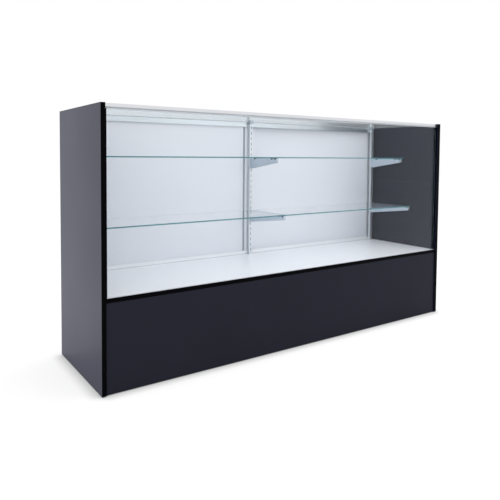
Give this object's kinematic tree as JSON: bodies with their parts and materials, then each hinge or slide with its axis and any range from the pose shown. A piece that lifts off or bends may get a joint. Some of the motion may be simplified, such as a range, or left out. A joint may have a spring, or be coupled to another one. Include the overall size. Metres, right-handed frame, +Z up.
{
  "type": "glass display showcase",
  "caption": "Long retail glass showcase: black board ends and base, glass front and top, glass shelves on slotted uprights, sliding rear doors.",
  "frame": {"origin": "on the floor under the middle of the case", "axes": "+X to the right seen from the front, +Y from the front to the back, +Z up"},
  "size_m": [1.778, 0.4572, 0.9652],
  "materials": {
    "black_board": "black melamine-faced particle board, satin",
    "black_band": "black PVC edge band and channel",
    "white_board": "white melamine-faced particle board, satin",
    "glass": "clear tempered glass, polished edges",
    "aluminium": "satin anodised extrusion",
    "door_panel": "white painted hardboard, satin",
    "door_trim": "white extruded plastic trim",
    "zinc": "zinc-plated steel, satin",
    "clear_vinyl": "clear soft vinyl",
    "dark_rubber": "dark rubber",
    "grey_vinyl": "pale grey soft vinyl",
    "nylon": "white nylon"
  },
  "bodies": {
    "showcase_frame": {"left_side_panel": "black_board", "right_side_panel": "black_board", "base_front_panel": "black_board", "base_bottom_board": "black_board", "base_center_divider": "black_board", "base_rear_kick_board": "black_board", "left_side_edge_band": "black_band", "right_side_edge_band": "black_band", "deck_front_edge_band": "black_band", "left_glass_channel": "black_band", "right_glass_channel": "black_band", "display_deck": "white_board", "front_glass": "glass", "top_glass": "glass", "upper_left_shelf": "glass", "upper_right_shelf": "glass", "lower_left_shelf": "glass", "lower_right_shelf": "glass", "top_front_rail": "aluminium", "rear_header": "aluminium", "bottom_door_track": "aluminium", "left_upright": "aluminium", "center_upright": "aluminium", "right_upright": "aluminium", "left_upright_cap": "zinc", "center_upright_cap": "zinc", "right_upright_cap": "zinc", "left_upright_cap_screw": "zinc", "center_upright_cap_screw": "zinc", "right_upright_cap_screw": "zinc", "upper_left_bracket": "zinc", "upper_center_bracket": "zinc", "upper_right_bracket": "zinc", "lower_left_bracket": "zinc", "lower_center_bracket": "zinc", "lower_right_bracket": "zinc", "upper_left_bracket_cushion": "clear_vinyl", "upper_center_bracket_cushion": "clear_vinyl", "upper_right_bracket_cushion": "clear_vinyl", "lower_left_bracket_cushion": "clear_vinyl", "lower_center_bracket_cushion": "clear_vinyl", "lower_right_bracket_cushion": "clear_vinyl", "front_glass_setting_strip": "dark_rubber", "left_rail_end_block": "dark_rubber", "right_rail_end_block": "dark_rubber", "front_glass_gasket": "grey_vinyl", "left_front_floor_glide": "nylon", "left_rear_floor_glide": "nylon", "right_front_floor_glide": "nylon", "right_rear_floor_glide": "nylon"},
    "left_door": {"left_door_panel": "door_panel", "left_door_pull_stile": "door_trim", "left_door_end_trim": "door_trim", "left_door_runner": "nylon", "left_door_guide": "nylon"},
    "right_door": {"right_door_panel": "door_panel", "right_door_pull_stile": "door_trim", "right_door_end_trim": "door_trim", "right_door_runner": "nylon", "right_door_guide": "nylon"}
  },
  "joints": [
    {"name": "left_door_slide", "type": "slide", "parent": "showcase_frame", "child": "left_door", "axis": [1, 0, 0], "range_m": [0, 0.859]},
    {"name": "right_door_slide", "type": "slide", "parent": "showcase_frame", "child": "right_door", "axis": [1, 0, 0], "range_m": [-0.859, 0]}
  ]
}
